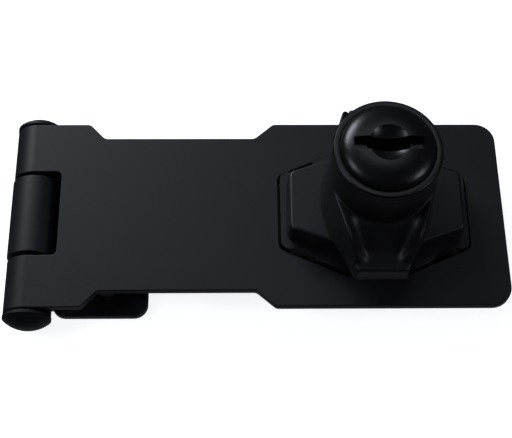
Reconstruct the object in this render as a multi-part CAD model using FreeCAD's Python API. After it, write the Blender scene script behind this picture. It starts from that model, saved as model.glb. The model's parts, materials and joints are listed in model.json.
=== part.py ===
import FreeCAD, Part
import math
import os

# A keyed locking hasp: a stamped strap on a pinned leaf closes over a cast lock base,
# and a winged knob on the base turns a quarter turn to hold it. Millimetres.
# The origin is on the knob's axis, in the mounting plane; +X points to the strap's free end.

V = FreeCAD.Vector

# strap and hinge
overall_length = 114.3          # from the knuckles to the strap's free end
hinge_x = -78.5                 # hinge pin's axis, from the knob's axis
strap_sheet = 2.0
leaf_sheet = 2.2
pin_radius = 3.35
pin_clearance = 0.05            # radial, in the knuckles
knuckle_bore = pin_radius + pin_clearance
strap_roll = knuckle_bore + strap_sheet
leaf_roll = knuckle_bore + leaf_sheet
hinge_z = leaf_roll             # the leaf's knuckle rests on the mounting plane
strap_top = hinge_z + strap_roll
strap_under = strap_top - strap_sheet
strap_left = hinge_x - strap_roll
strap_right = strap_left + overall_length
strap_half = 23.2               # half width at both ends
waist_half = 19.35              # half width between them
hinge_end = hinge_x + 12.5      # where the shoulder by the hinge begins
waist_start = hinge_x + 16.1
waist_end = hinge_x + 51.6
free_end_start = hinge_x + 56.0
free_corner = 4.6
shoulder_round = 1.5
notch_half = 10.55              # cut-out for the leaf's knuckle
notch_right = hinge_x + 6.4
notch_corner = 1.1
strap_edge_round = 0.4

# opening in the strap, and the two steps of the base that stand in it
opening_x = 0.25                # its middle, from the knob's axis
opening_half_x = 21.85
opening_side = 9.2              # half length of its two short sides
opening_flat = 16.0             # half width across its long flats
opening_slope = 0.445
opening_corner = 1.6
ledge_gap = 0.45                # opening to the lower step
ledge_top = 12.0
plateau_half_x = 19.6
plateau_side = 7.1
plateau_flat = 13.0
plateau_slope = 0.358
plateau_top = 17.6
plateau_draft = 0.6             # how far its foot spreads
plateau_corner = 1.8
plateau_edge_round = 0.7

# foot of the base, under the strap
foot_half_x = 24.0
foot_half_y = 19.6
foot_corner = 4.0
foot_top = strap_under - 0.3
screw_x = 17.6                  # half spacing of the four screw pockets
screw_y = 14.2
pocket_radius = 4.7
pocket_floor = 4.0
base_hole_radius = 2.4
bore_radius = 3.05
recess_radius = 7.2             # under the base, for the spindle's washer and clip
recess_top = 6.5
base_wall = 3.0
hollow_near = 10.4
hollow_near_half = 7.0
hollow_far_half = 5.6
hollow_corner = 1.0

# leaf
leaf_half = 22.1
leaf_end = hinge_x + 26.8
leaf_back = hinge_x + 4.8       # its plate stops short of the strap's knuckles
leaf_corner = 3.2
leaf_knuckle_half = 9.7
leaf_hole_x = hinge_x + 17.4
leaf_hole_y = 14.7
leaf_hole_radius = 2.5

# hinge pin
pin_head_radius = 5.5
pin_head_rim = 0.8
pin_head_dome = 2.2
pin_head_gap = 0.25

# knob
knob_under = plateau_top + 0.2
knob_floor = knob_under + 2.0
barrel_radius = 11.5            # upright round part
shoulder_z = 31.2               # top of the wings' side walls
wing_tip = 20.0                 # reach of each wing
wing_tip_top = 23.4
wing_tip_half = 5.9
wing_tip_draft = 1.5            # how much narrower the tip's outline is at shoulder height
wing_tip_foot_round = 0.8
wing_tip_top_round = 0.5
foot_bulge = 12.4               # half width of the knob where it sits on the base
foot_bulge_radius = 26.0
tip_joint = 15.2                # where the bulge meets the wing tip
wing_neck_half = 7.7
wing_neck = 15.6
wing_middle_half = 11.3
wing_middle = 3.3
rail = 0.45                     # rim left beside each wing's scoop
rail_end = 18.4                 # where the rim has fallen to the tip's flat
rail_top_end = 15.2
rail_round = 3.4
scoop_tip_half = 5.05
scoop_z = 30.2                  # level floor beside the barrel
scoop_fall = 10.8               # where the floor starts to fall to the tip
scoop_foot = 16.4
scoop_top_round = 3.0
scoop_foot_round = 2.5
cavity_radius = 8.2
cavity_top = 27.2

# lock cylinder in the knob
flange_bottom = 40.2
flange_top = 41.2
flange_chamfer = 0.35
housing_radius = 9.4
housing_bore = 7.55
face_recess_radius = 10.1
face_recess_floor = 40.35
plug_radius = 7.5
plug_rear = 27.0
plug_front = 40.4
keyway_long = 8.8
keyway_wide = 3.0
slot_long = 14.5
slot_floor = 41.6
face_radius = 9.95
face_crest = 43.7
dimple_radius = 4.2
dimple_depth = 1.5
wafer_count = 5
wafer_first = 29.0
wafer_pitch = 2.2
wafer_thick = 1.2
wafer_half_x = 6.9
wafer_half_y = 3.6
wafer_window_x = 4.7
wafer_window_y = 1.8
wafer_lug_y = 5.2
wafer_lug_half = 0.9
wafer_slack = 0.06              # around a wafer in its slot
wafer_spring_length = 3.2
wafer_spring_radius = 0.38
wafer_spring_wire = 0.1
wafer_spring_turns = 6
wafer_spring_y = -4.6
wafer_nest_radius = 0.55
housing_groove = 8.3            # reach of the two grooves the wafers lock into
snap_ring_z = 29.0
snap_ring_thick = 0.8
snap_ring_inner = 8.75
snap_ring_outer = 9.9
snap_ring_gap_half = 1.5

# bolt and its cam
bolt_orbit = 6.0                # distance from the knob's axis
bolt_angle = 180.0
bolt_travel = 2.2
bolt_radius = 1.4
bolt_bottom = knob_under + 0.3
bolt_head_radius = 1.9
bolt_head_bottom = 23.4
bolt_head_top = 24.2
bolt_head_crown = 0.4           # how far the head's dome stands above its rim
bolt_dome_radius = 4.6
bolt_tip_chamfer = 0.3
bolt_pocket_radius = 1.75
bolt_pocket_floor = bolt_bottom - bolt_travel - 0.6
bolt_spring_wire = 0.2
bolt_spring_turns = 3
bolt_spring_radius = bolt_radius + 0.3
bolt_spring_gap = 0.05          # at each end of the spring
cam_radius = 7.2
cam_centre_z = 23.8             # height of the slanted face on the axis
cam_slope = bolt_travel / (math.sqrt(2.0) * bolt_orbit)
cam_spotface_z = 24.3
cam_spotface_radius = 3.2
cam_low = cam_centre_z - 4      # below all of the slanted face
cam_screw_radius = 1.45
cam_screw_head_radius = 2.7
cam_screw_head = 1.7
cam_screw_slot = 0.7            # depth of its driver slot
cam_screw_slot_half = 0.4

# spindle that ties the knob to the base
spindle_radius = 3.0
spindle_head_radius = 3.9
spindle_head = 1.2
spindle_end = 3.4
clip_z = 4.7
clip_thick = 0.6
clip_outer = 4.9
clip_groove = 2.4
clip_gap_half = 1.9
washer_outer = 6.2
washer_thick = 0.9

# stop pin between base and knob
stop_orbit = 10.0
stop_angle = 45.0
stop_radius = 1.0
stop_proud = 1.2
stop_depth = 4.0
stop_slack = 0.35


def box(x0, x1, y0, y1, z0, z1):
    return Part.makeBox(x1 - x0, y1 - y0, z1 - z0, V(x0, y0, z0))


def rod(radius, z0, z1, x=0.0, y=0.0):
    return Part.makeCylinder(radius, z1 - z0, V(x, y, z0))


def ring(outer, inner, z0, z1):
    return rod(outer, z0, z1).cut(rod(inner, z0 - 1, z1 + 1))


def around(angle, radius):
    a = math.radians(angle)
    return radius * math.cos(a), radius * math.sin(a)


def outline(corners, to_point):
    """A closed wire through corners (a, b, rounding), each rounded by its own radius."""
    edges = []
    ends = []
    for i, (a, b, r) in enumerate(corners):
        before = V(*corners[i - 1][:2], 0) - V(a, b, 0)
        after = V(*corners[(i + 1) % len(corners)][:2], 0) - V(a, b, 0)
        before.normalize()
        after.normalize()
        half_angle = before.getAngle(after) / 2
        back = r / math.tan(half_angle)
        start = V(a, b, 0) + before * back
        end = V(a, b, 0) + after * back
        middle_line = before + after
        if r > 0:
            middle_line.normalize()
            middle = V(a, b, 0) + middle_line * (r / math.sin(half_angle) - r)
            arc = Part.Arc(to_point(start), to_point(middle), to_point(end))
            ends.append((start, end, arc.toShape()))
        else:
            ends.append((start, end, None))
    for i, (start, end, arc) in enumerate(ends):
        if arc:
            edges.append(arc)
        following = ends[(i + 1) % len(ends)][0]
        if (following - end).Length > 1e-6:
            edges.append(Part.LineSegment(to_point(end), to_point(following)).toShape())
    return Part.Wire(edges)


def plate(corners, z0, z1):
    wire = outline(corners, lambda p: V(p.x, p.y, z0))
    return Part.Face(wire).extrude(V(0, 0, z1 - z0))


def side_prism(corners, half_x):
    """Corners are (y, z, rounding); the prism runs along X, centred."""
    wire = outline(corners, lambda p: V(-half_x, p.x, p.y))
    return Part.Face(wire).extrude(V(2 * half_x, 0, 0))


def four_ways(points):
    """Corner points for x > 0, y > 0, mirrored into a full anticlockwise outline."""
    right_top = list(points)
    left_top = [(-x, y, r) for x, y, r in reversed(points)]
    left_bottom = [(-x, -y, r) for x, y, r in points]
    right_bottom = [(x, -y, r) for x, y, r in reversed(points)]
    return right_top + left_top + left_bottom + right_bottom


def six_sided(half_x, side, flat, slope, rounding):
    """The elongated outline shared by the opening and the steps of the base."""
    flat_x = half_x - (flat - side) / slope
    corners = four_ways([(half_x, side, rounding), (flat_x, flat, rounding)])
    return [(x + opening_x, y, r) for x, y, r in corners]


def round_edges(solid, radius, wanted):
    """Round the edges that wanted() picks by their bounding boxes."""
    edges = [e for e in solid.Edges if wanted(e.BoundBox)]
    return solid.makeFillet(radius, edges)


def curl(inner, outer, first, last, y0, y1):
    """A rolled knuckle about the hinge axis, from angle first to last, seen from -Y."""
    def spot(radius, angle):
        x, z = around(angle, radius)
        return V(hinge_x + x, y0, hinge_z + z)

    middle = (first + last) / 2
    edges = [
        Part.Arc(spot(outer, first), spot(outer, middle), spot(outer, last)).toShape(),
        Part.LineSegment(spot(outer, last), spot(inner, last)).toShape(),
        Part.Arc(spot(inner, last), spot(inner, middle), spot(inner, first)).toShape(),
        Part.LineSegment(spot(inner, first), spot(outer, first)).toShape(),
    ]
    return Part.Face(Part.Wire(edges)).extrude(V(0, y1 - y0, 0))


def coil(radius, wire_radius, turns, length):
    """An open coil spring that stands on the XY plane."""
    pitch = (length - 2 * wire_radius) / turns
    path = Part.makeHelix(pitch, pitch * turns, radius)
    start = path.Edges[0].valueAt(path.Edges[0].FirstParameter)
    along = path.Edges[0].tangentAt(path.Edges[0].FirstParameter)
    section = Part.Wire(Part.makeCircle(wire_radius, start, along))
    spring = Part.Wire(path.Edges).makePipeShell([section], True, True)
    spring.translate(V(0, 0, wire_radius))
    return spring


def make_strap():
    corners = [
        (hinge_x, -strap_half, 0),
        (hinge_end, -strap_half, shoulder_round),
        (waist_start, -waist_half, shoulder_round),
        (waist_end, -waist_half, shoulder_round),
        (free_end_start, -strap_half, shoulder_round),
        (strap_right, -strap_half, free_corner),
    ]
    corners += [(x, -y, r) for x, y, r in reversed(corners)]
    body = plate(corners, strap_under, strap_top)
    hole = six_sided(opening_half_x, opening_side, opening_flat, opening_slope, opening_corner)
    body = body.cut(plate(hole, strap_under - 1, strap_top + 1))
    notch = [
        (hinge_x - 9, -notch_half, 0),
        (notch_right, -notch_half, notch_corner),
        (notch_right, notch_half, notch_corner),
        (hinge_x - 9, notch_half, 0),
    ]
    for side in (-1, 1):
        y0, y1 = sorted((side * notch_half, side * strap_half))
        body = body.fuse(curl(knuckle_bore, strap_roll, 90, 370, y0, y1))
    body = body.cut(plate(notch, strap_under - 1, strap_top + 1)).removeSplitter()
    flat_top = lambda b: b.ZMin > strap_top - 0.01 and b.XMin > hinge_x + 0.1
    return round_edges(body, strap_edge_round, flat_top)


def make_leaf():
    corners = [
        (leaf_back, -leaf_half, leaf_corner),
        (leaf_end, -leaf_half, leaf_corner),
        (leaf_end, leaf_half, leaf_corner),
        (leaf_back, leaf_half, leaf_corner),
    ]
    body = plate(corners, 0, leaf_sheet)
    body = body.fuse(box(hinge_x, leaf_back + 1, -leaf_knuckle_half, leaf_knuckle_half, 0, leaf_sheet))
    roll = curl(knuckle_bore, leaf_roll, -10, 270, -leaf_knuckle_half, leaf_knuckle_half)
    body = body.fuse(roll)
    for side in (-1, 1):
        hole = rod(leaf_hole_radius, -1, leaf_sheet + 1, leaf_hole_x, side * leaf_hole_y)
        body = body.cut(hole)
    return body.removeSplitter()


def make_hinge_pin():
    reach = strap_half + pin_head_gap
    body = Part.makeCylinder(pin_radius, 2 * reach, V(hinge_x, -reach, hinge_z), V(0, 1, 0))
    sphere_radius = (pin_head_radius ** 2 + pin_head_dome ** 2) / (2 * pin_head_dome)
    for side in (-1, 1):
        out = V(0, side, 0)
        seat = V(hinge_x, side * reach, hinge_z)
        rim = Part.makeCylinder(pin_head_radius, pin_head_rim + pin_head_dome, seat, out)
        centre = seat + out * (pin_head_rim + pin_head_dome - sphere_radius)
        body = body.fuse(rim.common(Part.makeSphere(sphere_radius, centre)))
    return body.removeSplitter()


def drafted_plateau():
    """The upper step, whose foot on the ledge is wider than its top."""
    wires = []
    for z, grow in ((ledge_top - 1, plateau_draft), (plateau_top, 0)):
        corners = six_sided(
            plateau_half_x + grow, plateau_side + grow / 2, plateau_flat + grow, plateau_slope, plateau_corner
        )
        wires.append(outline(corners, lambda p, z=z: V(p.x, p.y, z)))
    body = Part.makeLoft(wires, True, True)
    return round_edges(body, plateau_edge_round, lambda b: b.ZMin > plateau_top - 0.01)


def core_hollow(side):
    """The casting is cored out from below, between the spindle's boss and each end."""
    near = side * hollow_near
    far = side * (plateau_half_x - base_wall)
    return [
        (near, -hollow_near_half, hollow_corner),
        (far, -hollow_far_half, hollow_corner),
        (far, hollow_far_half, hollow_corner),
        (near, hollow_near_half, hollow_corner),
    ]


def make_lock_base():
    foot = plate(four_ways([(foot_half_x, foot_half_y, foot_corner)]), 0, foot_top)
    ledge = plate(
        six_sided(
            opening_half_x - ledge_gap,
            opening_side - ledge_gap / 2,
            opening_flat - ledge_gap,
            opening_slope,
            opening_corner,
        ),
        foot_top - 1,
        ledge_top,
    )
    body = foot.fuse(ledge).fuse(drafted_plateau()).removeSplitter()
    for side in (-1, 1):
        body = body.cut(plate(core_hollow(side), -1, plateau_top - base_wall))
        for y in (-screw_y, screw_y):
            x = side * screw_x
            body = body.cut(rod(pocket_radius, pocket_floor, ledge_top + 0.5, x, y))
            body = body.cut(rod(base_hole_radius, -1, pocket_floor + 1, x, y))
    body = body.cut(rod(recess_radius, -1, recess_top))
    body = body.cut(rod(bore_radius, recess_top - 1, plateau_top + 1))
    stop = around(stop_angle, stop_orbit)
    for turn in (0, 90):
        spot = around(bolt_angle + turn, bolt_orbit)
        body = body.cut(rod(bolt_pocket_radius, bolt_pocket_floor, plateau_top + 1, *spot))
    body = body.cut(rod(stop_radius, plateau_top - stop_depth, plateau_top + 1, *stop))
    return body


def make_stop_pin():
    spot = around(stop_angle, stop_orbit)
    return rod(stop_radius, plateau_top - stop_depth, plateau_top + stop_proud, *spot)


def wing_wire(z, tip_half, neck, neck_half, middle, middle_half, bulge):
    """One level of the knob's side walls: tip, neck and a bulged middle on each side."""
    half = [
        V(-tip_half, -wing_tip, z),
        V(tip_half, -wing_tip, z),
        V(neck_half, -neck, z),
        V(middle_half, -middle, z),
        V(middle_half, middle, z),
        V(neck_half, neck, z),
        V(tip_half, wing_tip, z),
    ]
    edges = [Part.LineSegment(half[i], half[i + 1]).toShape() for i in (0, 1)]
    for a, b in ((2, 3), (3, 4), (4, 5)):
        y = (half[a].y + half[b].y) / 2
        edges.append(Part.Arc(half[a], V(bulge(y), y, z), half[b]).toShape())
    edges.append(Part.LineSegment(half[5], half[6]).toShape())
    turned = [e.copy() for e in edges]
    for e in turned:
        e.rotate(V(0, 0, 0), V(0, 0, 1), 180)
    return Part.Wire(edges + turned)


def knob_walls():
    def foot_x(y):
        return foot_bulge - foot_bulge_radius + math.sqrt(foot_bulge_radius ** 2 - y * y)

    def shoulder_x(y):
        if abs(y) < wing_middle:
            return barrel_radius + 0.15
        share = (abs(y) - wing_middle) / (wing_neck - wing_middle)
        return wing_middle_half + share * (wing_neck_half - wing_middle_half) + 0.02

    middle_x = foot_x(wing_middle)
    top_half = wing_tip_half - wing_tip_draft
    foot = wing_wire(knob_under, wing_tip_half, tip_joint, foot_x(tip_joint), wing_middle, middle_x, foot_x)
    top = wing_wire(shoulder_z, top_half, wing_neck, wing_neck_half, wing_middle, wing_middle_half, shoulder_x)
    return Part.makeLoft([foot, top], True, True)


def knob_side_view():
    """What is left of the wings seen along X: level shoulders that fall to a low flat tip."""
    top = [
        (wing_tip, knob_under, wing_tip_foot_round),
        (wing_tip, wing_tip_top, wing_tip_top_round),
        (rail_end, wing_tip_top, 0),
        (rail_top_end, shoulder_z, rail_round),
    ]
    corners = top + [(-y, z, r) for y, z, r in reversed(top)]
    return side_prism(corners, foot_bulge + 5)


def scoop():
    """What is hollowed out of the wing on the +Y side."""
    side = [
        (wing_middle, shoulder_z + 1, 0),
        (wing_middle, scoop_z, 0),
        (scoop_fall, scoop_z, scoop_top_round),
        (scoop_foot, wing_tip_top, scoop_foot_round),
        (wing_tip + 2, wing_tip_top, 0),
        (wing_tip + 2, shoulder_z + 1, 0),
    ]
    cut = side_prism(side, foot_bulge)
    plan = [
        (wing_middle_half - rail, wing_middle, 0),
        (wing_neck_half - rail, wing_neck, 0),
        (scoop_tip_half, rail_end, 0),
        (scoop_tip_half, wing_tip + 2, 0),
    ]
    plan += [(-x, y, r) for x, y, r in reversed(plan)]
    return cut.common(plate(plan, knob_under, shoulder_z + 2))


def make_knob():
    body = knob_walls().common(knob_side_view())
    hollow = scoop()
    body = body.cut(hollow)
    hollow.rotate(V(0, 0, 0), V(0, 0, 1), 180)
    body = body.cut(hollow)
    body = body.fuse(rod(barrel_radius, knob_floor, flange_bottom)).removeSplitter()
    body = body.cut(rod(cavity_radius, knob_floor, cavity_top + 1))
    body = body.cut(rod(housing_radius + 0.02, cavity_top, flange_bottom + 1))
    groove = rod(snap_ring_outer + 0.05, snap_ring_z - 0.05, snap_ring_z + snap_ring_thick + 0.05)
    body = body.cut(groove)
    body = body.cut(rod(spindle_radius + 0.02, knob_under - 1, knob_floor + 1))
    bolt = around(bolt_angle, bolt_orbit)
    body = body.cut(rod(bolt_radius + 0.05, knob_under - 1, knob_floor + 1, *bolt))
    return body.cut(stop_groove())


def stop_groove():
    """A quarter-turn groove in the knob's underside that runs over the stop pin."""
    reach = stop_radius + stop_slack
    top = knob_under + stop_proud + 0.3
    band = ring(stop_orbit + reach, stop_orbit - reach, knob_under - 1, top)
    corners = [(0.0, 0.0, 0)]
    for angle in (stop_angle - 90, stop_angle - 45, stop_angle):
        corners.append((*around(angle, 3 * stop_orbit), 0))
    groove = band.common(plate(corners, knob_under - 1, top))
    for angle in (stop_angle - 90, stop_angle):
        groove = groove.fuse(rod(reach, knob_under - 1, top, *around(angle, stop_orbit)))
    return groove


def make_housing():
    flange = rod(barrel_radius, flange_bottom, flange_top)
    rim = [e for e in flange.Edges if e.BoundBox.ZMin > flange_top - 0.01]
    flange = flange.makeChamfer(flange_chamfer, rim)
    body = flange.fuse(rod(housing_radius, cavity_top, flange_bottom + 0.5)).removeSplitter()
    body = body.cut(rod(face_recess_radius, face_recess_floor, flange_top + 1))
    body = body.cut(rod(housing_bore, cavity_top - 1, flange_top + 1))
    groove_x = math.sqrt(housing_groove ** 2 - wafer_half_y ** 2)
    reach = wafer_half_y + 2 * wafer_slack
    body = body.cut(box(-groove_x, groove_x, -reach, reach, cavity_top - 1, wafer_z(wafer_count - 1) + 1.5))
    outer = ring(housing_radius + 1, snap_ring_inner, snap_ring_z - 0.05, snap_ring_z + snap_ring_thick + 0.05)
    return body.cut(outer)


def make_snap_ring():
    body = ring(snap_ring_outer, snap_ring_inner + 0.03, snap_ring_z, snap_ring_z + snap_ring_thick)
    gap = box(0, 12, -snap_ring_gap_half, snap_ring_gap_half, snap_ring_z - 1, snap_ring_z + 2)
    return body.cut(gap)


def wafer_z(index):
    return wafer_first + wafer_pitch * index


def wafer_blank(index, grow):
    """A wafer's plate with its spring lug, grown all round by the slack of its slot."""
    z0 = wafer_z(index) - wafer_thick / 2 - grow
    z1 = wafer_z(index) + wafer_thick / 2 + grow
    half_y = wafer_half_y + grow
    body = box(-wafer_half_x - 1, wafer_half_x + 1, -half_y, half_y, z0, z1)
    lug = box(-wafer_lug_half - grow, wafer_lug_half + grow, -wafer_lug_y - grow, 0, z0, z1)
    return body.fuse(lug)


def make_wafer(index):
    body = wafer_blank(index, 0).common(rod(plug_radius - 0.03, plug_rear, plug_front))
    z0 = wafer_z(index) - wafer_thick
    window = box(-wafer_window_x, wafer_window_x, -wafer_window_y, wafer_window_y, z0, z0 + 2 * wafer_thick)
    return body.cut(window).removeSplitter()


def make_wafer_spring(index):
    spring = coil(wafer_spring_radius, wafer_spring_wire, wafer_spring_turns, wafer_spring_length)
    spring.rotate(V(0, 0, 0), V(0, 1, 0), 90)
    spring.translate(V(-wafer_lug_half - 0.1 - wafer_spring_length, wafer_spring_y, wafer_z(index)))
    return spring


def keyway(z0, z1):
    return box(-keyway_long / 2, keyway_long / 2, -keyway_wide / 2, keyway_wide / 2, z0, z1)


def make_plug():
    body = rod(plug_radius, plug_rear, plug_front)
    body = body.cut(keyway(plug_rear + 1.0, plug_front + 1))
    for index in range(wafer_count):
        body = body.cut(wafer_blank(index, wafer_slack))
        nest = Part.makeCylinder(
            wafer_nest_radius,
            wafer_spring_length + 0.3,
            V(-wafer_lug_half - 0.3 - wafer_spring_length, wafer_spring_y, wafer_z(index)),
            V(1, 0, 0),
        )
        body = body.cut(nest)
    return body.cut(rod(cam_screw_radius, plug_rear - 1, plug_rear + 4.0))


def make_plug_face():
    """The domed cap: a rounded shoulder up to the rim of a round dimple, and the key slot."""
    edge_z = flange_top + 0.05
    eighth = math.sqrt(0.5)
    shoulder_x = dimple_radius + (face_radius - dimple_radius) * eighth
    shoulder = V(shoulder_x, 0, edge_z + (face_crest - edge_z) * eighth)
    base = face_recess_floor + 0.1
    points = [
        V(0, 0, base),
        V(face_radius, 0, base),
        V(face_radius, 0, edge_z),
        V(dimple_radius, 0, face_crest),
        V(0, 0, face_crest - dimple_depth),
    ]
    bowl_radius = (dimple_radius ** 2 + dimple_depth ** 2) / (2 * dimple_depth)
    bowl_mid = dimple_radius / 2
    bowl_z = face_crest - dimple_depth + bowl_radius - math.sqrt(bowl_radius ** 2 - bowl_mid ** 2)
    edges = [
        Part.LineSegment(points[0], points[1]).toShape(),
        Part.LineSegment(points[1], points[2]).toShape(),
        Part.Arc(points[2], shoulder, points[3]).toShape(),
        Part.Arc(points[3], V(bowl_mid, 0, bowl_z), points[4]).toShape(),
        Part.LineSegment(points[4], points[0]).toShape(),
    ]
    body = Part.Face(Part.Wire(edges)).revolve(V(0, 0, 0), V(0, 0, 1), 360)
    body = body.cut(keyway(base - 1, face_crest + 1))
    half_wide = keyway_wide / 2
    slot = box(-slot_long / 2, slot_long / 2, -half_wide, half_wide, slot_floor, face_crest + 1)
    return body.cut(slot)


def make_cam():
    """A disc under the plug; its slanted underside pushes the bolt down as the plug turns."""
    body = rod(cam_radius, cam_low, plug_rear)
    uphill = math.radians(bolt_angle + 45)
    below = Part.makeBox(60, 60, 30, V(-30, -30, -30))
    tilt_axis = V(-math.sin(uphill), math.cos(uphill), 0)
    below.rotate(V(0, 0, 0), tilt_axis, -math.degrees(math.atan(cam_slope)))
    below.translate(V(0, 0, cam_centre_z))
    body = body.cut(below)
    body = body.cut(rod(cam_spotface_radius, cam_low, cam_spotface_z))
    return body.cut(rod(cam_screw_radius + 0.1, cam_low, plug_rear + 1))


def make_cam_screw():
    head_z = cam_spotface_z - cam_screw_head
    head = rod(cam_screw_head_radius, head_z, cam_spotface_z)
    body = head.fuse(rod(cam_screw_radius, cam_spotface_z - 0.5, plug_rear + 3.6))
    slot = box(-3, 3, -cam_screw_slot_half, cam_screw_slot_half, head_z - 1, head_z + cam_screw_slot)
    return body.cut(slot).removeSplitter()


def make_bolt():
    shank = rod(bolt_radius, bolt_bottom, bolt_head_top)
    tip = [e for e in shank.Edges if e.BoundBox.ZMax < bolt_bottom + 0.01]
    shank = shank.makeChamfer(bolt_tip_chamfer, tip)
    crest = bolt_head_top + bolt_head_crown
    head = rod(bolt_head_radius, bolt_head_bottom, crest)
    dome = Part.makeSphere(bolt_dome_radius, V(0, 0, crest - bolt_dome_radius))
    body = shank.fuse(head.common(dome)).removeSplitter()
    body.translate(V(*around(bolt_angle, bolt_orbit), 0))
    return body


def make_bolt_spring():
    length = bolt_head_bottom - knob_floor - 2 * bolt_spring_gap
    spring = coil(bolt_spring_radius, bolt_spring_wire, bolt_spring_turns, length)
    spring.translate(V(*around(bolt_angle, bolt_orbit), knob_floor + bolt_spring_gap))
    return spring


def make_spindle():
    body = rod(spindle_radius, spindle_end, knob_floor + 0.3)
    body = body.fuse(rod(spindle_head_radius, knob_floor + 0.02, knob_floor + spindle_head))
    body = body.cut(ring(spindle_radius + 1, clip_groove, clip_z - 0.05, clip_z + clip_thick + 0.05))
    return body.removeSplitter()


def make_clip():
    body = ring(clip_outer, clip_groove + 0.05, clip_z, clip_z + clip_thick)
    return body.cut(box(0, 6, -clip_gap_half, clip_gap_half, clip_z - 1, clip_z + 2))


def make_washer():
    z0 = clip_z + clip_thick + 0.1
    return ring(washer_outer, spindle_radius + 0.15, z0, z0 + washer_thick)


parts = {
    "strap": make_strap(),
    "hinge_leaf": make_leaf(),
    "hinge_pin": make_hinge_pin(),
    "lock_base": make_lock_base(),
    "stop_pin": make_stop_pin(),
    "knob_body": make_knob(),
    "cylinder_housing": make_housing(),
    "housing_snap_ring": make_snap_ring(),
    "plug": make_plug(),
    "plug_face": make_plug_face(),
    "bolt_cam": make_cam(),
    "cam_screw": make_cam_screw(),
    "locking_bolt": make_bolt(),
    "bolt_spring": make_bolt_spring(),
    "spindle": make_spindle(),
    "spindle_washer": make_washer(),
    "retaining_clip": make_clip(),
}
for index in range(wafer_count):
    parts[f"wafer_{index + 1}"] = make_wafer(index)
    parts[f"wafer_spring_{index + 1}"] = make_wafer_spring(index)

os.makedirs("parts", exist_ok=True)
for name, shape in parts.items():
    shape.exportStep(f"parts/{name}.step")
    box_of = shape.BoundBox
    print(
        f"{name:18s} solids {len(shape.Solids)} valid {shape.isValid()} volume {shape.Volume:9.2f}"
        f"  z {box_of.ZMin:.2f} to {box_of.ZMax:.2f}"
    )
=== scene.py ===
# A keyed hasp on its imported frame. Sizes in the dictionaries are in millimetres, and a finish's noise scales
# are per metre. Every finished piece is in metres.
import json
import math

import bmesh
import bpy
from mathutils import Matrix, Vector


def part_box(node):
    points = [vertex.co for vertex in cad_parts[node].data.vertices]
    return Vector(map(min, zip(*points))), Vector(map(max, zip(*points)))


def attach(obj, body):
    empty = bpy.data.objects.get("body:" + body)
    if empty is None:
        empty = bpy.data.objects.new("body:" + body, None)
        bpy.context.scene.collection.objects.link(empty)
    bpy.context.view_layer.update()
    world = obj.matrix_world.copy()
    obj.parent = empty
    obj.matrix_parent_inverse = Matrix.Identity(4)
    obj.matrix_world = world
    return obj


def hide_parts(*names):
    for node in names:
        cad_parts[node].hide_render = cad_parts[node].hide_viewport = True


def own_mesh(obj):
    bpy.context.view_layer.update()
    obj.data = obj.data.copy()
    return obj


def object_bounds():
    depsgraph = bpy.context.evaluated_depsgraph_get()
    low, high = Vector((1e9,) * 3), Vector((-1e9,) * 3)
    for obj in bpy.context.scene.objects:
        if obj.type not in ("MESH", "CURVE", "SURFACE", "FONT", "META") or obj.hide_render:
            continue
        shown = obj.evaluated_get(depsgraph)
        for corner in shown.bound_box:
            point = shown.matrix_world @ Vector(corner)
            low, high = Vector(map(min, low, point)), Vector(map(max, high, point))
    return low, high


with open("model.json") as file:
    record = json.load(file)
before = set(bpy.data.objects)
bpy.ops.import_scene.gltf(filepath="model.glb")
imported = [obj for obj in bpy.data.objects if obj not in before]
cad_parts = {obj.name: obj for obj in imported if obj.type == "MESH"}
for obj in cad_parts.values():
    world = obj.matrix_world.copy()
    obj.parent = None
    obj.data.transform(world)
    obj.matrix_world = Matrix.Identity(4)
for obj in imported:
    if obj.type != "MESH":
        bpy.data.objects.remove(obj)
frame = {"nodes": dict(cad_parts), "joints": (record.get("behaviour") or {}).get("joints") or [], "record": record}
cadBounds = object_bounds()
joints = {joint["name"]: joint for joint in frame["joints"]}
millimetre = 0.001
past = 1            # how far a cutting or joined shape runs past the surface it meets
touch = 0.01        # nearer than this counts as the same place
print("frame loaded:", len(frame["nodes"]), "nodes")


def cadBox(node):
    low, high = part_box(node)
    return low / millimetre, high / millimetre


def rgb(red, green, blue):
    return (red, green, blue, 1.0)


def flatShape(corners):
    # an outline in the XY plane; each corner is (x, y, radius)
    bm = bmesh.new()
    verts = [bm.verts.new((x, y, 0)) for x, y, radius in corners]
    bm.faces.new(verts)
    for vert, (x, y, radius) in zip(verts, corners):
        if radius > 0:
            sides = [edge.other_vert(vert).co - vert.co for edge in vert.link_edges]
            reach = radius / math.tan(sides[0].angle(sides[1]) / 2)
            bmesh.ops.bevel(bm, geom=[vert], offset=reach, offset_type="OFFSET", affect="VERTICES",
                            segments=8, profile=0.5, material=-1)
    return bm


def vertsOf(result):
    return [item for item in result["geom"] if isinstance(item, bmesh.types.BMVert)]


def thicken(bm, bottom, top):
    # a flat shape becomes a slab between two heights
    bmesh.ops.translate(bm, verts=bm.verts, vec=(0, 0, bottom))
    raised = bmesh.ops.extrude_face_region(bm, geom=bm.faces[:], use_keep_orig=True)
    bmesh.ops.translate(bm, verts=vertsOf(raised), vec=(0, 0, top - bottom))
    bmesh.ops.recalc_face_normals(bm, faces=bm.faces)
    return bm


def slab(corners, bottom, top):
    return thicken(flatShape(corners), bottom, top)


def mirroredCorners(points):
    # corners for x > 0 and y > 0, repeated in the other three quarters
    backwards = points[::-1]
    outline = list(points)
    outline += [(-x, y, radius) for x, y, radius in backwards]
    outline += [(-x, -y, radius) for x, y, radius in points]
    outline += [(x, -y, radius) for x, y, radius in backwards]
    return outline


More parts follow.
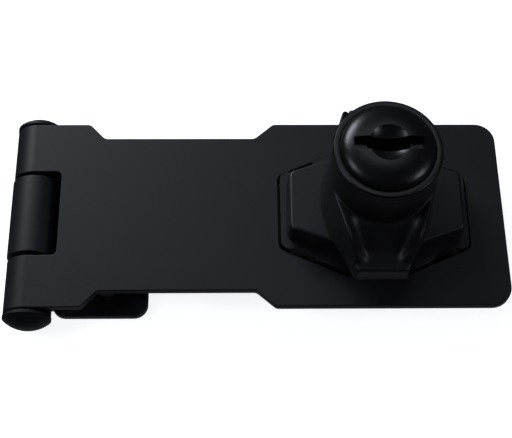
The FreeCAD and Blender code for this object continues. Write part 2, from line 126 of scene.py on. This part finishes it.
def turned(profile, steps=96):
    # (radius, height) points spun into a closed round shape
    bm = bmesh.new()
    verts = [bm.verts.new((radius, 0, height)) for radius, height in profile]
    for first, second in zip(verts, verts[1:]):
        bm.edges.new((first, second))
    bmesh.ops.spin(bm, geom=bm.verts[:] + bm.edges[:], cent=(0, 0, 0), axis=(0, 0, 1),
                   angle=math.tau, steps=steps, use_merge=True)
    bmesh.ops.remove_doubles(bm, verts=bm.verts, dist=0.0005)
    bmesh.ops.recalc_face_normals(bm, faces=bm.faces)
    return bm


def cylinder(radius, bottom, top, x=0.0, y=0.0, steps=64):
    bm = bmesh.new()
    bmesh.ops.create_cone(bm, cap_ends=True, segments=steps, radius1=radius, radius2=radius,
                          depth=top - bottom)
    bmesh.ops.translate(bm, verts=bm.verts, vec=(x, y, (top + bottom) / 2))
    return bm


def block(low, high):
    bm = bmesh.new()
    bmesh.ops.create_cube(bm, size=1)
    size = [b - a for a, b in zip(low, high)]
    bmesh.ops.scale(bm, verts=bm.verts, vec=size)
    bmesh.ops.translate(bm, verts=bm.verts, vec=[(a + b) / 2 for a, b in zip(low, high)])
    return bm


def bench(bm, name="work"):
    # a bmesh put on the bench as an object
    mesh = bpy.data.meshes.new(name)
    bm.to_mesh(mesh)
    bm.free()
    piece = bpy.data.objects.new(name, mesh)
    bpy.context.collection.objects.link(piece)
    return piece


def applyModifiers(piece):
    bpy.context.view_layer.update()
    shaped = piece.evaluated_get(bpy.context.evaluated_depsgraph_get())
    mesh = bpy.data.meshes.new_from_object(shaped)
    piece.modifiers.clear()
    piece.data = mesh
    return piece


def combine(piece, bm, operation):
    # the other shape is used up
    other = bench(bm)
    step = piece.modifiers.new("combine", "BOOLEAN")
    step.object = other
    step.operation = operation
    step.solver = "EXACT"
    applyModifiers(piece)
    bpy.data.objects.remove(other)


def cut(piece, bm):
    combine(piece, bm, "DIFFERENCE")


def join(piece, bm):
    combine(piece, bm, "UNION")


def softenEdges(piece, width, segments=3, angle=35):
    step = piece.modifiers.new("edges", "BEVEL")
    step.width = width
    step.segments = segments
    step.limit_method = "ANGLE"
    step.angle_limit = math.radians(angle)
    step.profile = 0.5
    return applyModifiers(piece)


def castSkin(piece, voxel, rounds, rub, keep):
    # the fine even skin of a painted casting, with its edges rubbed soft
    step = piece.modifiers.new("skin", "REMESH")
    step.mode = "VOXEL"
    step.voxel_size = voxel
    applyModifiers(piece)
    bm = bmesh.new()
    bm.from_mesh(piece.data)
    for _ in range(rounds):
        bmesh.ops.smooth_vert(bm, verts=bm.verts, factor=rub,
                              use_axis_x=True, use_axis_y=True, use_axis_z=True)
    bm.to_mesh(piece.data)
    bm.free()
    step = piece.modifiers.new("thin out", "DECIMATE")
    step.ratio = keep
    applyModifiers(piece)


def finish(piece, name, slot, body, node, sharp=30):
    # off the bench: metres, smooth shading up to a sharp angle, a finish and a body to ride on
    piece.name = name
    piece.data.name = name
    piece.data.transform(Matrix.Scale(millimetre, 4))
    piece.data.shade_smooth()
    if sharp:
        piece.data.set_sharp_from_angle(angle=math.radians(sharp))
        steady = piece.modifiers.new("flat faces stay flat", "WEIGHTED_NORMAL")
        steady.keep_sharp = True
    piece.data.materials.clear()
    piece.data.materials.append(materials[slot])
    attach(piece, body)
    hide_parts(node)
    print("made", name, "with", len(piece.data.polygons), "faces")
    return piece


# the place and the lens in millimetres; the heading, clockwise from +y, the tilt down and the roll in degrees
view = {"place": (-31.84, -109.41, 239.23), "heading": 2.62, "tilt": 64.66, "roll": 2.22,
        "lens": 77.24, "shiftX": 0.0009, "shiftY": -0.0031}


def makeCamera():
    heading, tilt, roll = (math.radians(view[key]) for key in ("heading", "tilt", "roll"))
    ahead = Vector((math.sin(heading) * math.cos(tilt), math.cos(heading) * math.cos(tilt), -math.sin(tilt)))
    level = Vector((math.cos(heading), -math.sin(heading), 0))
    upright = level.cross(ahead)
    right = level * math.cos(roll) + upright * math.sin(roll)
    up = upright * math.cos(roll) - level * math.sin(roll)
    data = bpy.data.cameras.new("camera")
    data.lens = view["lens"]
    data.shift_x = view["shiftX"]
    data.shift_y = view["shiftY"]
    camera = bpy.data.objects.new("camera", data)
    bpy.context.collection.objects.link(camera)
    turn = Matrix((right, up, -ahead)).transposed().to_4x4()
    camera.matrix_world = Matrix.Translation(Vector(view["place"]) * millimetre) @ turn
    bpy.context.scene.camera = camera
    print("camera placed")


lamps = {
    "back": {"place": (-275, 375, 290), "size": (240, 140), "power": 1.42},
    "above": {"place": (-10, 240, 520), "size": (240, 160), "power": 0.14},
    "left": {"place": (-400, -60, 330), "size": (150, 150), "power": 0.34},
    "right": {"place": (400, -140, 300), "size": (130, 130), "power": 0.32},
}
lampAim = (0, 0, 20)
lampTint = (0.93, 0.96, 1.06)


def makeLamps():
    aim = Vector(lampAim) * millimetre
    for name, lamp in lamps.items():
        data = bpy.data.lights.new(name, "AREA")
        data.shape = "RECTANGLE"
        data.size, data.size_y = (side * millimetre for side in lamp["size"])
        data.energy = lamp["power"]
        data.color = lampTint
        light = bpy.data.objects.new(name, data)
        light.location = Vector(lamp["place"]) * millimetre
        light.rotation_euler = (aim - light.location).to_track_quat("-Z", "Y").to_euler()
        bpy.context.collection.objects.link(light)
    bpy.context.scene.view_settings.view_transform = "Standard"
    print("lamps lit:", len(lamps))


class Link:
    # one output socket; sums on it add the Math nodes
    def __init__(self, paint, socket):
        self.paint = paint
        self.socket = socket

    def sum(self, operation, first, second):
        return self.paint.node("ShaderNodeMath", {"operation": operation}, {0: first, 1: second})

    def __add__(self, other):
        return self.sum("ADD", self, other)

    def __radd__(self, other):
        return self.sum("ADD", other, self)

    def __mul__(self, other):
        return self.sum("MULTIPLY", self, other)

    def __rmul__(self, other):
        return self.sum("MULTIPLY", other, self)


class Paint:
    # the nodes of a material, or of the world, in front of its one shader
    def __init__(self, owner, shader="Principled BSDF"):
        owner.use_nodes = True
        self.owner = owner
        self.tree = owner.node_tree
        self.shader = self.tree.nodes[shader]

    def node(self, kind, settings=None, sockets=None, output=0):
        made = self.tree.nodes.new(kind)
        for key, value in (settings or {}).items():
            setattr(made, key, value)
        for key, value in (sockets or {}).items():
            self.feed(made.inputs[key], value)
        return Link(self, made.outputs[output])

    def feed(self, socket, value):
        if isinstance(value, Link):
            self.tree.links.new(value.socket, socket)
        else:
            socket.default_value = value

    def set(self, **values):
        for key, value in values.items():
            self.feed(self.shader.inputs[key.replace("_", " ")], value)

    def place(self, axis=None, kind="Object"):
        # the whole place, or one axis of it
        where = self.node("ShaderNodeTexCoord", output=kind)
        return where if axis is None else self.node("ShaderNodeSeparateXYZ", {}, {0: where}, output=axis)

    def noise(self, scale, detail=2.0, roughness=0.5):
        return self.node("ShaderNodeTexNoise", {}, {"Vector": self.place(), "Scale": scale,
                                                    "Detail": detail, "Roughness": roughness})

    def mixColor(self, amount, first, second):
        # factor and colours of a Mix node in its colour form are sockets 0, 6 and 7
        return self.node("ShaderNodeMix", {"data_type": "RGBA"}, {0: amount, 6: first, 7: second}, output=2)

    def bump(self, height, strength, depth):
        return self.node("ShaderNodeBump", {}, {"Height": height, "Strength": strength,
                                                "Distance": depth * millimetre})


# from and to are heights on the sky's unit sphere
sky = {"dim": rgb(0.026, 0.027, 0.030), "low": rgb(0.19, 0.195, 0.212), "from": -0.97, "to": -0.60}


def makeSky():
    # dim above, and paler low down in front, like a white table before the hasp
    paint = Paint(bpy.data.worlds.new("studio"), "Background")
    fade = paint.node("ShaderNodeMapRange", {"interpolation_type": "SMOOTHSTEP"},
                      {"Value": paint.place(2, "Generated"), "From Min": sky["from"], "From Max": sky["to"],
                       "To Min": 1, "To Max": 0})
    paint.set(Color=paint.mixColor(fade, sky["dim"], sky["low"]))
    bpy.context.scene.world = paint.owner
    print("sky made")


blacks = {
    "strap": {"dark": rgb(0.0070, 0.0076, 0.0094), "light": rgb(0.0105, 0.0112, 0.0134),
              "rough": 0.46, "grainRise": 0.10},
    "casting": {"dark": rgb(0.0078, 0.0082, 0.0098), "light": rgb(0.0118, 0.0124, 0.0146),
                "rough": 0.43, "grainRise": 0.07},
    "cylinder": {"dark": rgb(0.0036, 0.0038, 0.0046), "light": rgb(0.0056, 0.0058, 0.0068),
                 "rough": 0.28, "grainRise": 0.03},
}
spray = {"cloud": 85, "grain": 2600, "peel": 900, "cloudRough": 0.10, "grainRough": 0.06, "peelRise": 0.12,
         "strength": 0.5, "depth": 0.2, "specular": 0.42}


def blackCoat(name):
    # sprayed black: a slow cloudiness, a fine grain, and a faint orange peel
    look = blacks[name]
    paint = Paint(bpy.data.materials.new("black_" + name))
    cloud = paint.noise(spray["cloud"], detail=3.0)
    grain = paint.noise(spray["grain"], roughness=0.6)
    peel = paint.noise(spray["peel"], detail=1.0)
    smoothest = look["rough"] - spray["cloudRough"] / 2
    rise = grain * look["grainRise"] + peel * spray["peelRise"]
    paint.set(Base_Color=paint.mixColor(cloud, look["dark"], look["light"]),
              Roughness=smoothest + cloud * spray["cloudRough"] + grain * spray["grainRough"],
              Normal=paint.bump(rise, spray["strength"], spray["depth"]),
              Specular_IOR_Level=spray["specular"])
    return paint.owner


metal = {"darker": 0.82, "roughSpread": 0.14, "strength": 0.25, "depth": 0.1}


def metalFinish(name, color, rough, mottle):
    # bare metal, finely mottled
    paint = Paint(bpy.data.materials.new(name))
    marks = paint.noise(mottle, detail=3.0, roughness=0.6)
    darker = rgb(*(metal["darker"] * part for part in color))
    paint.set(Base_Color=paint.mixColor(marks, darker, rgb(*color)),
              Roughness=rough + marks * metal["roughSpread"], Metallic=1.0,
              Normal=paint.bump(marks, metal["strength"], metal["depth"]))
    return paint.owner


materials = {
    "black_strap": blackCoat("strap"),
    "black_casting": blackCoat("casting"),
    "black_cylinder": blackCoat("cylinder"),
    "brass": metalFinish("turned_brass", (0.78, 0.58, 0.26), 0.24, 1500),
    "steel": metalFinish("zinc_steel", (0.62, 0.62, 0.63), 0.30, 1200),
    "spring_wire": metalFinish("drawn_wire", (0.46, 0.46, 0.48), 0.34, 2200),
}
print("finishes mixed:", len(materials))


def paintCadNodes():
    slots = {entry["node"]: entry["material_slot"] for entry in frame["record"]["subparts"]}
    for name, node in frame["nodes"].items():
        node.data.materials.clear()
        node.data.materials.append(materials[slots[name]])
    print("painted", len(frame["nodes"]), "nodes of the frame")


# the floor glows evenly, except for a painted shadow colour under the leaf
ground = {"reach": 4000, "drop": 0.1, "rough": 0.8, "cloud": 3, "strength": 0.88, "inset": 2,
          "shades": (rgb(0.86, 0.865, 0.87), rgb(0.88, 0.885, 0.89)),
          "glow": rgb(0.97, 0.98, 1.0), "paintedShadow": rgb(0.004, 0.004, 0.005)}


def makeFloor():
    bm = bmesh.new()
    bmesh.ops.create_grid(bm, x_segments=1, y_segments=1, size=ground["reach"] * millimetre)
    floor = bench(bm, "floor")
    floor.location.z = cadBounds[0][2] - ground["drop"] * millimetre
    paint = Paint(bpy.data.materials.new("floor_white"))
    # a painted shadow under the leaf: the floor's glow is painted dark across the leaf's footprint, and this
    # painted shadow shows through the screw holes
    low, high = cadBox("hinge_leaf")
    paintedShadowMask = 1.0
    for axis in (0, 1):
        middle = (low[axis] + high[axis]) / 2 * millimetre
        reach = ((high[axis] - low[axis]) / 2 - ground["inset"]) * millimetre
        near = paint.node("ShaderNodeMath", {"operation": "COMPARE"},
                          {0: paint.place(axis), 1: middle, 2: reach})
        paintedShadowMask = near * paintedShadowMask
    paint.set(Base_Color=paint.mixColor(paint.noise(ground["cloud"]), *ground["shades"]),
              Roughness=ground["rough"],
              Emission_Color=paint.mixColor(paintedShadowMask, ground["glow"], ground["paintedShadow"]),
              Emission_Strength=ground["strength"])
    floor.data.materials.append(paint.owner)
    floor.visible_glossy = False        # a pale floor mirrored in black paint would wash it out
    floor.visible_diffuse = False
    print("floor laid")


hingeAt = Vector(joints["hasp_hinge"]["pos_m"]) / millimetre

# the strap's places along x are from the hinge pin, and the waist and the notch are half widths
strap = {"sheet": 2.0, "waist": 19.35, "shoulder": (12.5, 16.1), "flare": (51.6, 56.0), "bend": 1.5,
         "freeCorner": 4.6, "notchHalf": 10.55, "notchReach": 6.4, "notchBack": 9, "notchCorner": 1.1,
         "rollAngle": 280, "edge": 0.42}
opening = {"x": 0.25, "outline": {"halfX": 21.85, "side": 9.2, "flat": 16.0, "slope": 0.445, "corner": 1.6}}


def eightSided(halfX, side, flat, slope, corner):
    # two long flats, two ends, and a slope at each corner
    flatX = halfX - (flat - side) / slope
    outline = mirroredCorners([(halfX, side, corner), (flatX, flat, corner)])
    return [(x + opening["x"], y, radius) for x, y, radius in outline]


def rollEnd(piece, angle, axis):
    # the sheet's end faces over the hinge pin are rolled round it
    bm = bmesh.new()
    bm.from_mesh(piece.data)
    bm.normal_update()
    upright = [face for face in bm.faces if abs(face.normal.x) > 0.9]
    ends = [face for face in upright if abs(face.calc_center_median().x - hingeAt.x) < touch]
    for end in ends:
        bmesh.ops.spin(bm, geom=[end], cent=hingeAt, axis=axis, angle=math.radians(angle), steps=48)
    bmesh.ops.delete(bm, geom=ends, context="FACES_ONLY")
    bmesh.ops.recalc_face_normals(bm, faces=bm.faces)
    bm.to_mesh(piece.data)
    bm.free()


def makeStrap():
    low, high = cadBox("strap")
    top = hingeAt.z + (hingeAt.x - low.x)
    under = top - strap["sheet"]
    half, waist, bend = high.y, strap["waist"], strap["bend"]
    lower = [
        (hingeAt.x, -half, 0),
        (hingeAt.x + strap["shoulder"][0], -half, bend),
        (hingeAt.x + strap["shoulder"][1], -waist, bend),
        (hingeAt.x + strap["flare"][0], -waist, bend),
        (hingeAt.x + strap["flare"][1], -half, bend),
        (high.x, -half, strap["freeCorner"]),
    ]
    upper = [(x, -y, radius) for x, y, radius in lower[::-1]]
    piece = bench(slab(lower + upper, under, top))
    cut(piece, slab(eightSided(**opening["outline"]), under - past, top + past))
    back, reach = hingeAt.x - strap["notchBack"], hingeAt.x + strap["notchReach"]
    side, corner = strap["notchHalf"], strap["notchCorner"]
    notch = [(back, -side, 0), (reach, -side, corner), (reach, side, corner), (back, side, 0)]
    cut(piece, slab(notch, under - past, top + past))
    rollEnd(piece, strap["rollAngle"], (0, -1, 0))
    softenEdges(piece, strap["edge"], segments=4)
    finish(piece, "strap_plate", "black_strap", "strap", "strap")


leaf = {"sheet": 2.2, "back": 4.8, "corner": 3.2, "tongue": 9.7, "tongueCorner": 0.6,
        "holeX": 17.4, "holeY": 14.7, "hole": 2.5, "rollAngle": 280, "edge": 0.3}


def makeLeaf():
    low, high = cadBox("hinge_leaf")
    back, corner, tongue = hingeAt.x + leaf["back"], leaf["corner"], leaf["tongue"]
    lower = [
        (hingeAt.x, -tongue, 0),
        (back, -tongue, leaf["tongueCorner"]),
        (back, -high.y, corner),
        (high.x, -high.y, corner),
    ]
    upper = [(x, -y, radius) for x, y, radius in lower[::-1]]
    piece = bench(slab(lower + upper, low.z, low.z + leaf["sheet"]))
    for side in (-1, 1):
        cut(piece, cylinder(leaf["hole"], low.z - past, low.z + leaf["sheet"] + past,
                            hingeAt.x + leaf["holeX"], side * leaf["holeY"]))
    rollEnd(piece, leaf["rollAngle"], (0, 1, 0))
    softenEdges(piece, leaf["edge"])
    finish(piece, "leaf_plate", "black_strap", "root", "hinge_leaf")


hingePin = {"shaft": 3.35, "head": 5.5, "rim": 0.8, "dome": 2.2, "lip": 0.25, "edge": 0.18}


def makeHingePin():
    end = cadBox("hinge_pin")[1].y
    head, dome = hingePin["head"], hingePin["dome"]
    seat = end - hingePin["rim"] - dome
    sphere = (head * head + dome * dome) / (2 * dome)
    lip = hingePin["lip"]
    crown = [(hingePin["shaft"], seat), (head - lip, seat), (head, seat + lip)]
    steps = 14
    widest = math.asin(head / sphere)
    for step in range(steps + 1):
        angle = widest * (1 - step / steps)
        crown.append((sphere * math.sin(angle), end - sphere + sphere * math.cos(angle)))
    profile = [(radius, -height) for radius, height in crown[::-1]] + crown
    bm = turned(profile)
    bmesh.ops.rotate(bm, verts=bm.verts, cent=(0, 0, 0), matrix=Matrix.Rotation(math.radians(90), 3, "X"))
    bmesh.ops.translate(bm, verts=bm.verts, vec=(hingeAt.x, 0, hingeAt.z))
    piece = softenEdges(bench(bm), hingePin["edge"], angle=50)
    finish(piece, "pin_and_heads", "black_strap", "root", "hinge_pin")


# the base's tops and floors are heights in the frame, and its bolt pockets and stop lie round the middle
base = {"footCorner": 4.0, "footTop": 8.7, "ledgeTop": 12.0, "ledgeGap": 0.45,
        "plateau": {"halfX": 19.6, "side": 7.1, "flat": 13.0, "slope": 0.358, "corner": 1.8},
        "draft": 0.6, "brow": 0.75, "wall": 3.0, "edge": 0.28,
        "screwX": 17.6, "screwY": 14.2, "pocket": 4.7, "pocketFloor": 4.0, "pocketClear": 0.5, "hole": 2.4,
        "bore": 3.05, "recess": 7.2, "recessTop": 6.5,
        "hollowNear": 10.4, "hollowNearHalf": 7.0, "hollowFarHalf": 5.6, "hollowCorner": 1,
        "boltPocket": 1.75, "boltPocketFloor": 15.3, "boltOrbit": 6.0, "boltAngles": (180, 270),
        "stop": 1.03, "stopFloor": 13.5, "stopOrbit": 10.0, "stopAngle": 45}


def around(angle, radius):
    return radius * math.cos(math.radians(angle)), radius * math.sin(math.radians(angle))


def draftedPlateau(top):
    # the raised flat, a little wider at its foot and round along its upper edge
    size = base["plateau"]
    foot = base["ledgeTop"] - past
    bm = slab(eightSided(**size), foot, top)
    lowVerts = [vert for vert in bm.verts if vert.co.z < foot + touch]
    bmesh.ops.translate(bm, verts=bm.verts, vec=(-opening["x"], 0, 0))
    spread = (1 + base["draft"] / size["halfX"], 1 + base["draft"] / size["flat"], 1)
    bmesh.ops.scale(bm, verts=lowVerts, vec=spread)
    bmesh.ops.translate(bm, verts=bm.verts, vec=(opening["x"], 0, 0))
    brow = [edge for edge in bm.edges if all(vert.co.z > top - touch for vert in edge.verts)]
    bmesh.ops.bevel(bm, geom=brow, offset=base["brow"], offset_type="OFFSET", affect="EDGES",
                    segments=5, profile=0.5, material=-1)
    return bm


def makeLockBase():
    low, high = cadBox("lock_base")
    top = high.z
    foot = mirroredCorners([(high.x, high.y, base["footCorner"])])
    piece = bench(slab(foot, low.z, base["footTop"]))
    gap = base["ledgeGap"]
    size = dict(opening["outline"])
    size.update(halfX=size["halfX"] - gap, side=size["side"] - gap / 2, flat=size["flat"] - gap)
    join(piece, slab(eightSided(**size), base["footTop"] - past, base["ledgeTop"]))
    join(piece, draftedPlateau(top))
    for side in (-1, 1):
        near, far = side * base["hollowNear"], side * (base["plateau"]["halfX"] - base["wall"])
        nearHalf, farHalf, corner = base["hollowNearHalf"], base["hollowFarHalf"], base["hollowCorner"]
        core = [(near, -nearHalf, corner), (far, -farHalf, corner),
                (far, farHalf, corner), (near, nearHalf, corner)]
        cut(piece, slab(core, low.z - past, top - base["wall"]))
        for y in (-base["screwY"], base["screwY"]):
            x = side * base["screwX"]
            cut(piece, cylinder(base["pocket"], base["pocketFloor"], base["ledgeTop"] + base["pocketClear"],
                                x, y))
            cut(piece, cylinder(base["hole"], low.z - past, base["pocketFloor"] + past, x, y, steps=40))
    cut(piece, cylinder(base["recess"], low.z - past, base["recessTop"]))
    cut(piece, cylinder(base["bore"], low.z - past, top + past))
    for angle in base["boltAngles"]:
        cut(piece, cylinder(base["boltPocket"], base["boltPocketFloor"], top + past,
                            *around(angle, base["boltOrbit"]), steps=32))
    cut(piece, cylinder(base["stop"], base["stopFloor"], top + past,
                        *around(base["stopAngle"], base["stopOrbit"]), steps=24))
    softenEdges(piece, base["edge"])
    finish(piece, "base_casting", "black_casting", "root", "lock_base")


# the wings run along y: footBulge, footTip, shoulderTip and each Half are half widths, and shoulder, tipTop,
# scoopTop and cavityTop are heights in the frame
knob = {"floor": 2.0, "barrel": 11.5, "shoulder": 31.2, "tip": 20.0, "tipTop": 23.4,
        "footBulge": 12.4, "footArc": 26.0, "footJoint": 15.2, "footTip": 5.9,
        "middle": 3.3, "middleHalf": 11.3, "middleBulge": 0.35, "neck": 15.6, "neckHalf": 7.7,
        "shoulderTip": 4.4,
        "rim": 0.7, "railEnd": 18.4, "railStart": 12.9, "railArc": 3.4, "railJoint": 16.07,
        "tipRound": 0.5, "toeRound": 0.9,
        "scoopTop": 30.2, "scoopStart": 10.8, "scoopFoot": 16.4, "scoopEase": 1.5, "fillet": 3.3,
        "curve": 1.7, "sections": 180, "filletSteps": 14,
        "cavity": 8.2, "cavityTop": 27.2, "housing": 9.42, "spindle": 3.02, "boltHole": 1.45,
        "stopGroove": 1.35, "stopGrooveTop": 1.5,
        "skin": {"voxel": 0.2, "rounds": 9, "rub": 0.5, "keep": 0.4}}


def footHalf(y):
    # a wide arc in the middle, then straight in to the tip
    joint = knob["footJoint"]
    if abs(y) <= joint:
        return knob["footBulge"] - knob["footArc"] + math.sqrt(knob["footArc"] ** 2 - y * y)
    share = (abs(y) - joint) / (knob["tip"] - joint)
    return footHalf(joint) + share * (knob["footTip"] - footHalf(joint))


def shoulderHalf(y):
    # a slight bulge in the middle, straight in to the neck, then straight in again to the tip
    middle, neck = knob["middle"], knob["neck"]
    if abs(y) <= middle:
        return knob["middleHalf"] + knob["middleBulge"] * (1 - (y / middle) ** 2)
    if abs(y) <= neck:
        share = (abs(y) - middle) / (neck - middle)
        return knob["middleHalf"] + share * (knob["neckHalf"] - knob["middleHalf"])
    share = (abs(y) - neck) / (knob["tip"] - neck)
    return knob["neckHalf"] + share * (knob["shoulderTip"] - knob["neckHalf"])


def wallHalf(y, z, under):
    # the walls lean in evenly from the foot to the shoulder
    share = (z - under) / (knob["shoulder"] - under)
    return footHalf(y) + share * (shoulderHalf(y) - footHalf(y))


def railTop(y):
    # level beside the barrel, round over the neck, then straight down to the flat of the tip
    over = abs(y) - knob["railStart"]
    if over <= 0:
        return knob["shoulder"]
    low = knob["shoulder"] - knob["railArc"]
    if abs(y) <= knob["railJoint"]:
        return low + math.sqrt(knob["railArc"] ** 2 - over * over)
    share = (abs(y) - knob["railJoint"]) / (knob["railEnd"] - knob["railJoint"])
    return railTop(knob["railJoint"]) + min(1, share) * (knob["tipTop"] - railTop(knob["railJoint"]))


def scoopFloor(y):
    # level beside the barrel, then a steep fall that eases out to the flat of the tip
    slope = (knob["scoopTop"] - knob["tipTop"]) / (knob["scoopFoot"] - knob["scoopStart"])
    reach = knob["scoopEase"]
    if abs(y) >= knob["scoopFoot"] + reach:
        return knob["tipTop"]
    if abs(y) >= knob["scoopFoot"] - reach:
        left = knob["scoopFoot"] + reach - abs(y)
        return knob["tipTop"] + slope * left * left / (4 * reach)
    if abs(y) >= knob["scoopStart"] + reach:
        return knob["tipTop"] + slope * (knob["scoopFoot"] - abs(y))
    gone = max(0, abs(y) - knob["scoopStart"] + reach)
    return knob["scoopTop"] - slope * gone * gone / (4 * reach)


def roundedOff(y, radius):
    # how much a rounding at the tip takes off there
    over = abs(y) - knob["tip"] + radius
    return radius - math.sqrt(radius * radius - over * over) if over > 0 else 0


def wings(under):
    # cross sections of both wings, from one tip to the other: walls, rails, and the scoop between them
    bm = bmesh.new()
    stations, turns = knob["sections"], knob["filletSteps"]
    sections = []
    for station in range(stations + 1):
        y = knob["tip"] * math.sin(math.pi * (station / stations - 0.5))
        low = under + roundedOff(y, knob["toeRound"])
        away = roundedOff(y, knob["tipRound"])
        top, floor = railTop(y) - away, scoopFloor(y) - away
        inner = wallHalf(y, top, under) - knob["rim"]
        side = [(wallHalf(y, low, under), low), (wallHalf(y, top, under), top)]
        for turn in range(turns + 1):
            share = 1 - turn / turns
            height = floor + (top - floor) * share ** knob["curve"]
            side.append((inner - knob["fillet"] * (1 - share), height))
        loop = side + [(-x, z) for x, z in side[::-1]]
        verts = [bm.verts.new((x, y, z)) for x, z in loop]
        sections.append([bm.edges.new((a, b)) for a, b in zip(verts, verts[1:] + verts[:1])])
        if station in (0, stations):
            bm.faces.new(verts)
    for near, far in zip(sections, sections[1:]):
        bmesh.ops.bridge_loops(bm, edges=near + far)
    bmesh.ops.recalc_face_normals(bm, faces=bm.faces)
    return bm


def stopGroove(under):
    # a quarter turn of groove over the stop pin, swept by its own end shape
    reach, top = knob["stopGroove"], under + knob["stopGrooveTop"]
    bm = block((base["stopOrbit"] - reach, -touch, under - past), (base["stopOrbit"] + reach, touch, top))
    bm.normal_update()
    ahead = [face for face in bm.faces if face.normal.y > 0.9]
    bmesh.ops.spin(bm, geom=ahead, cent=(0, 0, 0), axis=(0, 0, 1), angle=math.radians(90), steps=24)
    bmesh.ops.rotate(bm, verts=bm.verts, cent=(0, 0, 0),
                     matrix=Matrix.Rotation(math.radians(base["stopAngle"] - 90), 3, "Z"))
    bmesh.ops.recalc_face_normals(bm, faces=bm.faces)
    return bm


def makeKnob():
    low, high = cadBox("knob_body")
    under, top = low.z, high.z
    floor = under + knob["floor"]
    piece = bench(wings(under))
    join(piece, cylinder(knob["barrel"], floor, top, steps=128))
    cut(piece, cylinder(knob["cavity"], floor, knob["cavityTop"] + past, steps=96))
    cut(piece, cylinder(knob["housing"], knob["cavityTop"], top + past, steps=96))
    cut(piece, cylinder(knob["spindle"], under - past, floor + past))
    cut(piece, cylinder(knob["boltHole"], under - past, floor + past,
                        *around(base["boltAngles"][0], base["boltOrbit"]), steps=32))
    cut(piece, stopGroove(under))
    for angle in (base["stopAngle"] - 90, base["stopAngle"]):       # the groove's round ends
        cut(piece, cylinder(knob["stopGroove"], under - past, under + knob["stopGrooveTop"],
                            *around(angle, base["stopOrbit"]), steps=32))
    castSkin(piece, **knob["skin"])
    finish(piece, "knob_casting", "black_casting", "knob", "knob_body", sharp=0)


cylinderRing = {"outer": 11.5, "flange": 1.0, "chamfer": 0.35, "inner": 10.1, "recess": 0.85, "bore": 7.55,
                "sleeve": 9.4, "seam": (0.08, 0.1), "edge": 0.14, "steps": 144}


def makeRing():
    low, high = cadBox("cylinder_housing")
    outer, chamfer = cylinderRing["outer"], cylinderRing["chamfer"]
    seat, recess = high.z - cylinderRing["flange"], high.z - cylinderRing["recess"]
    seamIn, seamUp = cylinderRing["seam"]       # a fine bevel where the flange meets the knob
    profile = [
        (cylinderRing["sleeve"], low.z),
        (cylinderRing["sleeve"], seat),
        (outer - seamIn, seat),
        (outer, seat + seamUp),
        (outer, high.z - chamfer),
        (outer - chamfer, high.z),
        (cylinderRing["inner"], high.z),
        (cylinderRing["inner"], recess),
        (cylinderRing["bore"], recess),
        (cylinderRing["bore"], low.z),
        (cylinderRing["sleeve"], low.z),
    ]
    piece = softenEdges(bench(turned(profile, cylinderRing["steps"])), cylinderRing["edge"], angle=25)
    finish(piece, "cylinder_flange", "black_cylinder", "knob", "cylinder_housing")


keyFace = {"radius": 9.95, "edgeUp": 0.8, "dimple": 4.2, "dimpleDepth": 1.5,
           "slotLong": 14.5, "slotWide": 3.0, "slotFloor": 41.6, "keywayLong": 8.8,
           "edge": 0.16, "steps": 144}


def makeKeyFace():
    low, high = cadBox("plug_face")
    bottom, crest = low.z, high.z
    radius, dimple, depth = keyFace["radius"], keyFace["dimple"], keyFace["dimpleDepth"]
    edgeZ = bottom + keyFace["edgeUp"]
    profile = [(0, bottom), (radius, bottom)]
    steps = 18
    for step in range(steps + 1):
        angle = math.pi / 2 * step / steps
        x = dimple + (radius - dimple) * math.cos(angle)
        profile.append((x, edgeZ + (crest - edgeZ) * math.sin(angle)))
    bowl = (dimple * dimple + depth * depth) / (2 * depth)
    for step in range(1, steps + 1):
        x = dimple * (1 - step / steps)
        profile.append((x, crest - depth + bowl - math.sqrt(bowl * bowl - x * x)))
    piece = bench(turned(profile, keyFace["steps"]))
    halfWide = keyFace["slotWide"] / 2
    # a long shallow slot, and the keyway right through
    for long, floor in ((keyFace["slotLong"], keyFace["slotFloor"]), (keyFace["keywayLong"], bottom - past)):
        cut(piece, block((-long / 2, -halfWide, floor), (long / 2, halfWide, crest + past)))
    softenEdges(piece, keyFace["edge"], angle=40)
    finish(piece, "key_face", "black_cylinder", "plug", "plug_face")


boltSpring = {"turns": 3, "wire": 0.2, "coil": 1.7, "sides": 14, "stepsPerTurn": 36, "slack": 0.1}


def makeBoltSpring():
    low, high = cadBox("bolt_spring")
    wire, turns = boltSpring["wire"], boltSpring["turns"]
    rise = high.z - low.z - 2 * wire
    steps = turns * boltSpring["stepsPerTurn"]
    bm = bmesh.new()
    bmesh.ops.create_circle(bm, cap_ends=True, segments=boltSpring["sides"], radius=wire)
    bmesh.ops.rotate(bm, verts=bm.verts, cent=(0, 0, 0), matrix=Matrix.Rotation(math.radians(90), 3, "X"))
    bmesh.ops.translate(bm, verts=bm.verts, vec=(boltSpring["coil"], 0, 0))
    bmesh.ops.spin(bm, geom=bm.faces[:], cent=(0, 0, 0), axis=(0, 0, 1), dvec=(0, 0, rise / steps),
                   angle=math.tau * turns, steps=steps)
    bmesh.ops.recalc_face_normals(bm, faces=bm.faces)
    middle = (low + high) / 2
    bmesh.ops.translate(bm, verts=bm.verts, vec=(middle.x, middle.y, low.z + wire))
    piece = finish(bench(bm), "bolt_coil", "spring_wire", "knob", "bolt_spring")
    travel = joints["bolt_slide"]["range_m"][1] / millimetre
    1 - (travel + boltSpring["slack"]) / (high.z - low.z)
    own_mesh(piece)


makeCamera()
makeLamps()
makeSky()
makeFloor()
paintCadNodes()
makeStrap()
makeLeaf()
makeHingePin()
makeLockBase()
makeKnob()
makeRing()
makeKeyFace()
makeBoltSpring()
